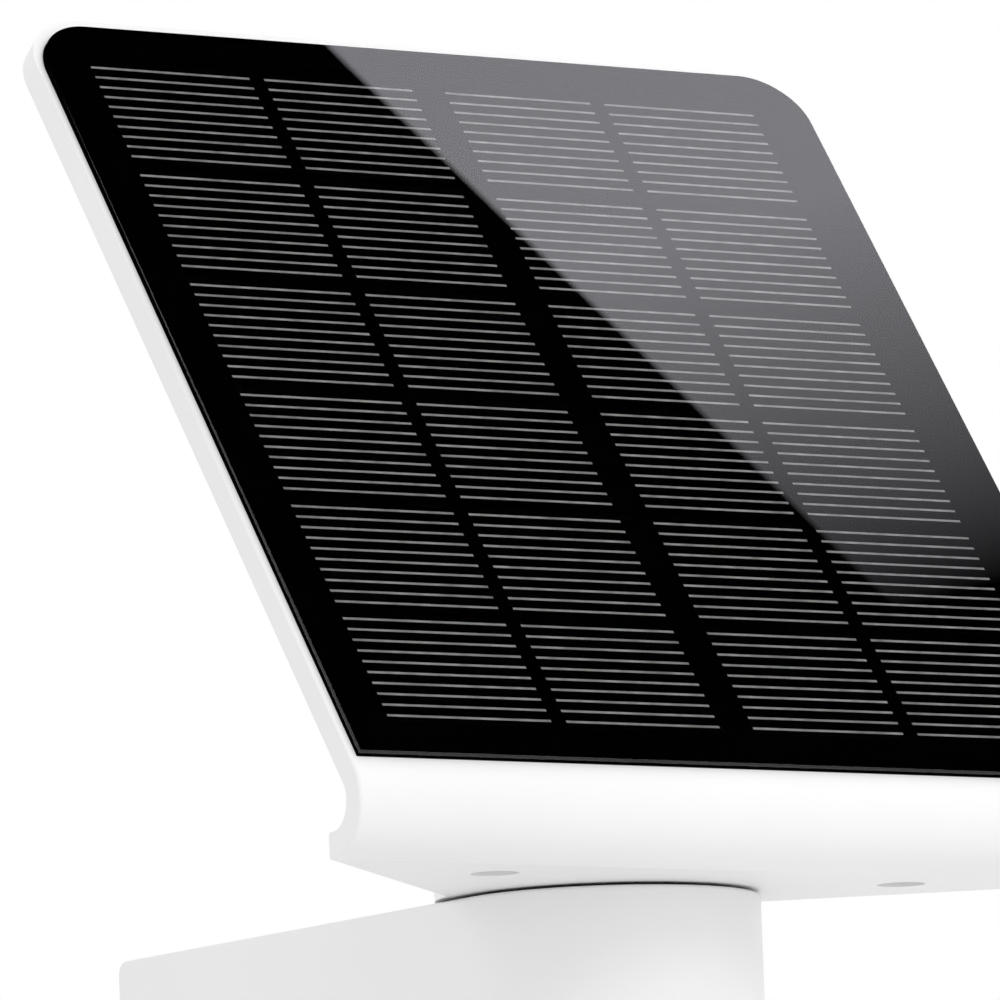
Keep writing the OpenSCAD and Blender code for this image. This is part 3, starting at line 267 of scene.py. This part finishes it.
def meshObject(name, bm):
    mesh = bpy.data.meshes.new(name)
    bm.to_mesh(mesh)
    bm.free()
    piece = bpy.data.objects.new(name, mesh)
    scene.collection.objects.link(piece)
    return piece


def smoothByAngle(piece, degrees=28):
    # edges already marked sharp stay sharp
    bm = bmesh.new()
    bm.from_mesh(piece.data)
    limit = math.radians(degrees)
    for face in bm.faces:
        face.smooth = True
    for edge in bm.edges:
        if len(edge.link_faces) != 2 or edge.calc_face_angle(0) > limit:
            edge.smooth = False
    bm.to_mesh(piece.data)
    bm.free()
    weigh = piece.modifiers.new("weigh", "WEIGHTED_NORMAL")
    weigh.keep_sharp = True
    weigh.weight = 80
    mesh = bpy.data.meshes.new_from_object(piece.evaluated_get(bpy.context.evaluated_depsgraph_get()))
    piece.modifiers.clear()
    piece.data = mesh


def prism(outline, low, high):
    # outline: points (x, y) anticlockwise
    bm = bmesh.new()
    base = [bm.verts.new((x, y, low)) for x, y in outline]
    top = [bm.verts.new((x, y, high)) for x, y in outline]
    bm.faces.new(list(reversed(base)))
    bm.faces.new(top)
    for i in range(len(outline)):
        j = (i + 1) % len(outline)
        bm.faces.new((base[i], base[j], top[j], top[i]))
    return bm


def arc(cx, cy, r, start, end, steps):
    turn = [math.radians(start + (end - start) * i / steps) for i in range(steps + 1)]
    return [(cx + r * math.cos(a), cy + r * math.sin(a)) for a in turn]


def tabOutline(width, low, high, radius, steps=20):
    half = width / 2
    right = arc(half - radius, high - radius, radius, 0, 90, steps)
    left = arc(radius - half, high - radius, radius, 90, 180, steps)
    return [(half, low)] + right + left + [(-half, low)]


def roundedOutline(width, low, high, radius, steps=12):
    half = width / 2
    corners = ((half - radius, low + radius, -90), (half - radius, high - radius, 0),
               (radius - half, high - radius, 90), (radius - half, low + radius, 180))
    return [p for x, y, a in corners for p in arc(x, y, radius, a, a + 90, steps)]


def roundRim(bm, width, segments, top=True, bottom=True):
    # rounds the edges round the flat faces of a prism
    levels = [v.co.z for v in bm.verts]
    wanted = ([max(levels)] if top else []) + ([min(levels)] if bottom else [])
    edges = [e for e in bm.edges
             if any(all(abs(v.co.z - z) < 1e-7 for v in e.verts) for z in wanted)]
    bmesh.ops.bevel(bm, geom=edges, offset=width, segments=segments, profile=0.5,
                    affect="EDGES", clamp_overlap=True)


def cut(piece, *cutters):
    for cutter in cutters:
        modifier = piece.modifiers.new("cut", "BOOLEAN")
        modifier.operation = "DIFFERENCE"
        modifier.solver = "EXACT"
        modifier.object = cutter
    depsgraph = bpy.context.evaluated_depsgraph_get()
    mesh = bpy.data.meshes.new_from_object(piece.evaluated_get(depsgraph))
    piece.modifiers.clear()
    piece.data = mesh
    for cutter in cutters:
        bpy.data.objects.remove(cutter)


def cylinderCutter(x, y, radius, low, high, steps=40):
    return meshObject("cutter", prism(arc(x, y, radius, 0, 360 - 360 / steps, steps - 1), low, high))


plate = {
    "thick": 5.5 * mm,
    "tilt": 53.8,
    "crease": 12.0,
    "bendInside": 5.5 * mm,
    "footReach": 50.3 * mm,
    "footCut": 0.7 * mm,
    "tongueRadius": 33.3 * mm,
    "tongueTip": 34.3 * mm,
    "cornerRadius": 14.5 * mm,
    "edgeRound": 0.7 * mm,
    "bendSteps": 40,
    "tongueWall": 2.6 * mm,
    "tongueFloor": 2.2 * mm,
    "tongueFront": 4 * mm,  # solid land between the bend and the tongue's hollow
    "bossRadius": 6.6 * mm,
    "bossLow": 1 * mm,
    "bossHigh": 3.9 * mm,
    "recessRadius": 4.8 * mm,
    "recessDeep": 2.5 * mm,
    "screwHole": 1.4 * mm,
    "axisHole": 14.15 * mm,
    "leadHole": 2.6 * mm,
    "leadRun": 7 * mm,
}
panel = {
    "sideRim": 1.6 * mm,
    "topRim": 2.9 * mm,
    "footLand": 1.9 * mm,
    "length": 198.9 * mm,
    "proud": 1.35 * mm,
    "glassThick": 2.9 * mm,
    "seatDeep": 3.05 * mm,
    "bevel": 0.5 * mm,
    "play": 0.05 * mm,
    "gasketThick": 0.5 * mm,
    "cellThick": 0.3 * mm,
    "coverRim": 9 * mm,
    "coverLow": 17 * mm,
    "coverThick": 1.3 * mm,
    "coverCorner": 6 * mm,
}
plateLow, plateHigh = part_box("head_shell")
beyond = 5 * mm  # how far cutters reach past what they cut
bendOutside = plate["bendInside"] + plate["thick"]
bendTurn = 180 - plate["tilt"]
bendLength = bendOutside * math.radians(bendTurn)
slabLength = panel["footLand"] + panel["length"] + panel["topRim"]
plateWidth = plateHigh.x - plateLow.x
bendCentre = Vector((0, plateLow.y + bendOutside, plateLow.z + bendOutside))
onSlab = (Matrix.Translation(bendCentre) @ Matrix.Rotation(math.radians(plate["tilt"]), 4, "X")
          @ Matrix.Translation((0, 0, bendOutside)))
glassWidth = plateWidth - 2 * panel["sideRim"]
glassCorner = plate["cornerRadius"] - panel["sideRim"]


def bendPoint(flat):
    # flat: x across, y up the plate from the tongue's end of the bend, z in from the outer face
    x, run, deep = flat
    if run <= 0:
        return Vector((x, bendCentre.y - run, plateLow.z + deep))
    if run >= bendLength:
        return onSlab @ Vector((x, run - bendLength, -deep))
    turned = bendTurn * run / bendLength
    # the outer face runs straight on both sides of the crease
    outside = bendOutside
    if turned < plate["crease"]:
        away = min(turned, plate["crease"] - turned)
        outside /= math.cos(math.radians(away))
    radius = outside - deep * (outside - plate["bendInside"]) / plate["thick"]
    turn = math.radians(270 - turned)
    return bendCentre + Vector((x, radius * math.cos(turn), radius * math.sin(turn)))


def plateOutline():
    half = plateWidth / 2
    axisRun = -plate["footReach"]
    radius, tip = plate["tongueRadius"], plate["tongueTip"]
    slope = math.atan2(tip + plate["footReach"] - plate["footCut"], half)
    away = tip * math.cos(slope)
    along = math.sqrt(radius ** 2 - away ** 2)
    meetX = away * math.sin(slope) + along * math.cos(slope)
    meetY = away * math.cos(slope) - along * math.sin(slope)
    start = math.degrees(math.atan2(meetY, meetX))
    # the tongue's round end, seen with the run pointing away from the wall
    rear = arc(0, axisRun, radius, 180 + start, 360 - start, 64)
    slab = tabOutline(plateWidth, -plate["footCut"], bendLength + slabLength, plate["cornerRadius"])
    return rear + slab


def bentPlate():
    bm = prism(plateOutline(), 0, plate["thick"])
    roundRim(bm, plate["edgeRound"], 4)
    body = meshObject("bentPlate", bm)
    slab = bendLength
    glassLow = slab + panel["footLand"]
    seat = prism(tabOutline(glassWidth, glassLow, glassLow + panel["length"], glassCorner),
                 -beyond, panel["seatDeep"])
    coverHigh = slabLength - panel["coverRim"]
    pocket = prism(roundedOutline(plateWidth - 2 * panel["coverRim"], slab + panel["coverLow"],
                                  slab + coverHigh, panel["coverCorner"]),
                   plate["thick"] - panel["coverThick"], plate["thick"] + beyond)
    cutters = [meshObject("cutter", seat), meshObject("cutter", pocket)]
    return body, cutters


def tonguePocket():
    # the tongue's hollow, closed by its cover
    wall = plate["tongueWall"]
    half = plateWidth / 2
    slope = math.atan2(plate["tongueTip"] + plate["footReach"] - plate["footCut"], half)
    tip = plate["tongueTip"] - wall / math.cos(slope)
    front = plate["footReach"] - plate["tongueFront"]
    radius = plate["tongueRadius"] - wall
    away = tip * math.cos(slope)
    along = math.sqrt(radius ** 2 - away ** 2)
    meetX = away * math.sin(slope) + along * math.cos(slope)
    meetY = away * math.cos(slope) - along * math.sin(slope)
    start = math.degrees(math.atan2(meetY, meetX))
    wide = (tip + front) / math.tan(slope)
    axisRun = -plate["footReach"]
    outline = arc(0, axisRun, radius, 180 + start, 360 - start, 48)
    outline += [(wide, front + axisRun), (-wide, front + axisRun)]
    return meshObject("cutter", prism(outline, plate["tongueFloor"], plate["thick"] + beyond))


def screwPlaces(node, count):
    # lowest and highest corner of each separate shell in a node
    bm = bmesh.new()
    bm.from_mesh(frame["nodes"][node].data)
    bmesh.ops.remove_doubles(bm, verts=bm.verts, dist=1e-6)
    places, seen = [], set()
    for vert in bm.verts:
        if vert in seen:
            continue
        shell, todo = [], [vert]
        seen.add(vert)
        while todo:
            v = todo.pop()
            shell.append(v.co.copy())
            for e in v.link_edges:
                w = e.other_vert(v)
                if w not in seen:
                    seen.add(w)
                    todo.append(w)
        low = Vector([min(c[i] for c in shell) for i in range(3)])
        high = Vector([max(c[i] for c in shell) for i in range(3)])
        places.append((low, high))
    bm.free()
    assert len(places) == count, (node, len(places))
    return places


def makePlate():
    body, cutters = bentPlate()
    cutters.append(tonguePocket())
    cut(body, *cutters)
    screws = screwPlaces("tongue_screws", 2)
    holes = []
    bosses = []
    for low, high in screws:
        x, y = (low.x + high.x) / 2, (low.y + high.y) / 2
        run = bendCentre.y - y
        bosses.append(cylinderCutter(x, run, plate["bossRadius"], plate["bossLow"], plate["bossHigh"]))
        holes.append(cylinderCutter(x, run, plate["recessRadius"], -beyond, plate["recessDeep"], 64))
        holes.append(cylinderCutter(x, run, plate["screwHole"], -beyond, plate["thick"] + beyond, 24))
    for boss in bosses:
        modifier = body.modifiers.new("join", "BOOLEAN")
        modifier.operation = "UNION"
        modifier.solver = "EXACT"
        modifier.object = boss
    through = plate["thick"] + beyond
    holes.append(cylinderCutter(0, -plate["footReach"], plate["axisHole"], -beyond, through, 64))
    leadLow = plate["tongueFloor"]  # inside the seat, so that the hole starts below its floor
    holes.append(cylinderCutter(0, bendLength + plate["leadRun"], plate["leadHole"], leadLow, through, 32))
    cut(body, *holes)
    for boss in bosses:
        bpy.data.objects.remove(boss)
    bm = bmesh.new()
    bm.from_mesh(body.data)
    bmesh.ops.triangulate(bm, faces=bm.faces[:])
    steps = plate["bendSteps"]
    creaseRun = bendLength * plate["crease"] / 2 / bendTurn
    for run in [bendLength * i / steps for i in range(steps + 1)] + [creaseRun]:
        geometry = bm.verts[:] + bm.edges[:] + bm.faces[:]
        bmesh.ops.bisect_plane(bm, geom=geometry, dist=1e-7, plane_co=(0, run, 0), plane_no=(0, 1, 0))
    onCrease = [e for e in bm.edges
                if all(abs(v.co.y - creaseRun) < 1e-6 and v.co.z < 1e-6 for v in e.verts)]
    for vert in bm.verts:
        vert.co = bendPoint(vert.co)
    for edge in onCrease:
        edge.smooth = False
    bmesh.ops.triangulate(bm, faces=[f for f in bm.faces if len(f.verts) > 4])
    bmesh.ops.recalc_face_normals(bm, faces=bm.faces)
    bm.to_mesh(body.data)
    bm.free()
    smoothByAngle(body)
    return finish(body, "solar_head", "white_housing", "head_shell")


def makeGlass():
    play = panel["play"]
    low, high = panel["footLand"] + play, panel["footLand"] + panel["length"] - play
    bm = prism(tabOutline(glassWidth - 2 * play, low, high, glassCorner, 32),
               panel["proud"] - panel["glassThick"], panel["proud"])
    roundRim(bm, panel["bevel"], 3, bottom=False)
    # 0 is polished glass, 1 the blacked-out sides and 2 the back, which is bonded to the cells
    for face in bm.faces:
        face.material_index = 1 if abs(face.normal.z) < 0.01 else 2 if face.normal.z < -0.9 else 0
    bm.transform(onSlab)
    bmesh.ops.recalc_face_normals(bm, faces=bm.faces)
    glass = meshObject("panelPane", bm)
    smoothByAngle(glass, 25)
    finish(glass, "solar_head", "panel_glass", "solar_glass")
    glass.data.materials.append(paint["panel_black"])
    glass.data.materials.append(paint["clear_bond"])
    return glass


makePlate()
makeGlass()
print("plate and glass made")


fingers = {
    "columns": 4, "rows": 6, "lines": 10,
    "pitch": 2.82 * mm,
    "width": 0.55 * mm,
    "thick": 0.03 * mm,
    "colGap": 3.5 * mm, "midGap": 7.9 * mm, "rowGap": 2.16 * mm,
    "outerExtra": 1.7 * mm, "left": 0.75 * mm,
    "bow": 0.7 * mm,
    "side": 12 * mm, "foot": 9.8 * mm, "top": 9.1 * mm,
}


def mathNode(nodes, links, operation, *values):
    node = nodes.new("ShaderNodeMath")
    node.operation = operation
    for i, value in enumerate(values):
        if isinstance(value, (int, float)):
            node.inputs[i].default_value = value
        else:
            links.new(value, node.inputs[i])
    return node.outputs["Value"]


def nodeGroup(name, inputs):
    # inputs: name -> (socket type, default)
    tree = bpy.data.node_groups.new(name, "GeometryNodeTree")
    tree.interface.new_socket("Geometry", in_out="OUTPUT", socket_type="NodeSocketGeometry")
    for label, (kind, value) in inputs.items():
        socket = tree.interface.new_socket(label, in_out="INPUT", socket_type=kind)
        socket.default_value = value
    return tree, tree.nodes.new("NodeGroupInput"), tree.nodes.new("NodeGroupOutput")


def runNodes(name, tree, values):
    # evaluates a node group on an empty mesh and returns a plain mesh object
    holder = meshObject(name, bmesh.new())
    modifier = holder.modifiers.new("nodes", "NODES")
    modifier.node_group = tree
    for item in tree.interface.items_tree:
        if item.item_type == "SOCKET" and item.in_out == "INPUT" and item.name in values:
            modifier[item.identifier] = values[item.name]
    depsgraph = bpy.context.evaluated_depsgraph_get()
    mesh = bpy.data.meshes.new_from_object(holder.evaluated_get(depsgraph))
    holder.modifiers.clear()
    holder.data = mesh
    return holder


def fingerTree():
    number, whole = "NodeSocketFloat", "NodeSocketInt"
    tree, given, out = nodeGroup("silverLines", {
        "Line length": (number, 0.03), "Line width": (number, 0.001), "Line thickness": (number, 0.0001),
        "Lines": (whole, 10), "Line pitch": (number, 0.003),
        "Rows": (whole, 6), "Row pitch": (number, 0.03),
        "Columns": (whole, 4), "Column pitch": (number, 0.04), "Middle gap": (number, 0.004),
        "Outer extra": (number, 0.0), "Row bow": (number, 0.0),
    })
    nodes, links = tree.nodes, tree.links

    def combine(x=0.0, y=0.0, z=0.0):
        node = nodes.new("ShaderNodeCombineXYZ")
        for key, source in (("X", x), ("Y", y), ("Z", z)):
            if isinstance(source, float):
                node.inputs[key].default_value = source
            else:
                links.new(source, node.inputs[key])
        return node.outputs["Vector"]

    def calc(operation, *values):
        return mathNode(nodes, links, operation, *values)

    def row(count, offset):
        node = nodes.new("GeometryNodeMeshLine")
        node.mode = "OFFSET"
        links.new(count, node.inputs["Count"])
        links.new(offset, node.inputs["Offset"])
        return node.outputs["Mesh"]

    def repeat(points, instance, scale=None):
        node = nodes.new("GeometryNodeInstanceOnPoints")
        links.new(points, node.inputs["Points"])
        links.new(instance, node.inputs["Instance"])
        if scale is not None:
            links.new(scale, node.inputs["Scale"])
        return node.outputs["Instances"]

    def moved(points, offset):
        node = nodes.new("GeometryNodeSetPosition")
        links.new(points, node.inputs["Geometry"])
        links.new(offset, node.inputs["Offset"])
        return node.outputs["Geometry"]

    bar = nodes.new("GeometryNodeMeshCube")
    links.new(combine(given.outputs["Line length"], given.outputs["Line width"],
                      given.outputs["Line thickness"]), bar.inputs["Size"])
    cell = repeat(row(given.outputs["Lines"], combine(y=given.outputs["Line pitch"])), bar.outputs["Mesh"])
    index = nodes.new("GeometryNodeInputIndex").outputs["Index"]
    # the middle rows hang a little lower than even spacing puts them
    share = calc("DIVIDE", index, calc("SUBTRACT", given.outputs["Rows"], 1.0))
    bow = calc("MULTIPLY", calc("MULTIPLY", share, calc("SUBTRACT", 1.0, share)), -4.0)
    rows = moved(row(given.outputs["Rows"], combine(y=given.outputs["Row pitch"])),
                 combine(y=calc("MULTIPLY", bow, given.outputs["Row bow"])))
    column = repeat(rows, cell)
    # the right half moves over by the middle gap, and the outer columns are wider
    first = calc("LESS_THAN", index, 0.5)
    last = calc("GREATER_THAN", calc("ADD", index, 1.5), given.outputs["Columns"])
    rightHalf = calc("GREATER_THAN", calc("ADD", index, 0.5), calc("DIVIDE", given.outputs["Columns"], 2.0))
    halves = calc("ADD", calc("SUBTRACT", 1.0, first), last)
    over = calc("ADD", calc("MULTIPLY", rightHalf, given.outputs["Middle gap"]),
                calc("MULTIPLY", halves, calc("MULTIPLY", given.outputs["Outer extra"], 0.5)))
    extraShare = calc("DIVIDE", given.outputs["Outer extra"], given.outputs["Line length"])
    widen = calc("ADD", 1.0, calc("MULTIPLY", calc("ADD", first, last), extraShare))
    columns = moved(row(given.outputs["Columns"], combine(x=given.outputs["Column pitch"])),
                    combine(x=over))
    every = repeat(columns, column, combine(widen, 1.0, 1.0))
    real = nodes.new("GeometryNodeRealizeInstances")
    links.new(every, real.inputs["Geometry"])
    finishMaterial = nodes.new("GeometryNodeSetMaterial")
    finishMaterial.inputs["Material"].default_value = paint["finger_silver"]
    links.new(real.outputs["Geometry"], finishMaterial.inputs["Geometry"])
    links.new(finishMaterial.outputs["Geometry"], out.inputs["Geometry"])
    return tree


def makeFingers():
    f = fingers
    free = glassWidth - 2 * (f["side"] + f["outerExtra"]) - f["midGap"] - (f["columns"] - 2) * f["colGap"]
    cellWidth = free / f["columns"]
    cellLength = (panel["length"] - f["top"] - f["foot"] - (f["rows"] - 1) * f["rowGap"]) / f["rows"]
    lines = runNodes("silverLines", fingerTree(), {
        "Line length": cellWidth, "Line width": f["width"], "Line thickness": f["thick"],
        "Lines": f["lines"], "Line pitch": f["pitch"],
        "Rows": f["rows"], "Row pitch": cellLength + f["rowGap"],
        "Columns": f["columns"], "Column pitch": cellWidth + f["colGap"],
        "Middle gap": f["midGap"] - f["colGap"], "Outer extra": f["outerExtra"], "Row bow": f["bow"],
    })
    cellTop = panel["proud"] - panel["glassThick"] - panel["gasketThick"] + panel["cellThick"]
    firstLine = (cellLength - (f["lines"] - 1) * f["pitch"]) / 2
    start = Vector((f["side"] - f["left"] - glassWidth / 2 + (cellWidth + f["outerExtra"]) / 2,
                    panel["footLand"] + f["foot"] + firstLine, cellTop + f["thick"] / 2))
    lines.data.transform(onSlab @ Matrix.Translation(start))
    return finish(lines, "solar_head", "finger_silver")


makeFingers()
print("silver lines made")


studio = {
    "floor": -0.30,
    "sky": 1.0,
    "keyFrom": (0.35, -1.5, 1.05),
    "keySize": 0.9,
    "keyPower": 7.0,
    "keyAim": (0, -0.15, 0.05),
}


reflection = {
    "size": 0.7,
    "away": 1.2,
    "aim": (0.5432, -0.10875, 0.83253),
    "from": (0.02461, -0.12436, 0.14264),
    "edgeSlope": 0.5272,
    "edgeShift": 0.0097,
    "edgeSoft": 0.0012,
    "fadeSlope": 0.648,
    "fadeDark": -0.129,
    "fadeBright": 0.031,
    "strength": 2.78,
    "colour": (0.99, 0.985, 1.06, 1),
}


def makeReflectionCard():
    # a dark card with a lit slanting field, which only mirror-like surfaces see
    r = reflection
    aim = Vector(r["aim"]).normalized()
    across = Vector((0, 0, 1)).cross(aim).normalized()
    up = aim.cross(across)
    bm = bmesh.new()
    bmesh.ops.create_grid(bm, x_segments=1, y_segments=1, size=r["size"] / 2)
    card = meshObject("reflectionCard", bm)
    card.matrix_world = (Matrix.Translation(Vector(r["from"]) + aim * r["away"])
                         @ Matrix((across, up, aim)).transposed().to_4x4())
    material = bpy.data.materials.new("reflectionCard")
    material.use_nodes = True
    nodes, links = material.node_tree.nodes, material.node_tree.links
    nodes.remove(nodes["Principled BSDF"])
    place = nodes.new("ShaderNodeTexCoord")
    split = nodes.new("ShaderNodeSeparateXYZ")
    links.new(place.outputs["Object"], split.inputs["Vector"])
    x, y = split.outputs["X"], split.outputs["Y"]
    slanted = mathNode(nodes, links, "MULTIPLY", y, -r["edgeSlope"])
    side = mathNode(nodes, links, "ADD", mathNode(nodes, links, "ADD", x, slanted), r["edgeShift"])
    lit = ramp(nodes, links, side, 0, 1, -r["edgeSoft"], r["edgeSoft"])
    fade = mathNode(nodes, links, "ADD", x, mathNode(nodes, links, "MULTIPLY", y, r["fadeSlope"]))
    level = ramp(nodes, links, fade, 0, r["strength"], r["fadeDark"], r["fadeBright"])
    glow = nodes.new("ShaderNodeEmission")
    glow.inputs["Color"].default_value = r["colour"]
    links.new(mathNode(nodes, links, "MULTIPLY", lit, level), glow.inputs["Strength"])
    links.new(glow.outputs["Emission"], nodes["Material Output"].inputs["Surface"])
    card.data.materials.append(material)
    card.visible_camera = False
    card.visible_diffuse = False
    card.visible_transmission = False
    card.visible_shadow = False
    card.visible_volume_scatter = False


def makeStudio():
    bm = bmesh.new()
    bmesh.ops.create_grid(bm, x_segments=1, y_segments=1, size=6)
    bm.transform(Matrix.Translation((0, 0, studio["floor"])))
    floor = meshObject("floor", bm)
    floor.data.materials.append(
        mouldedPlastic("paleFloor", (0.86, 0.86, 0.86), (0.88, 0.88, 0.88), 0.7, 0.8, 60))
    world = bpy.data.worlds.new("studioLight")
    world.use_nodes = True
    world.node_tree.nodes["Background"].inputs["Color"].default_value = (1, 1, 1, 1)
    world.node_tree.nodes["Background"].inputs["Strength"].default_value = studio["sky"]
    scene.world = world
    data = bpy.data.lights.new("key", "AREA")
    data.shape = "DISK"
    data.size = studio["keySize"]
    data.energy = studio["keyPower"]
    key = bpy.data.objects.new("key", data)
    key.location = studio["keyFrom"]
    aim = Vector(studio["keyAim"]) - Vector(studio["keyFrom"])
    key.rotation_euler = aim.to_track_quat("-Z", "Y").to_euler()
    scene.collection.objects.link(key)
    key.visible_glossy = False
    scene.view_settings.view_transform = "Standard"


makeStudio()
makeReflectionCard()
print("studio lit")
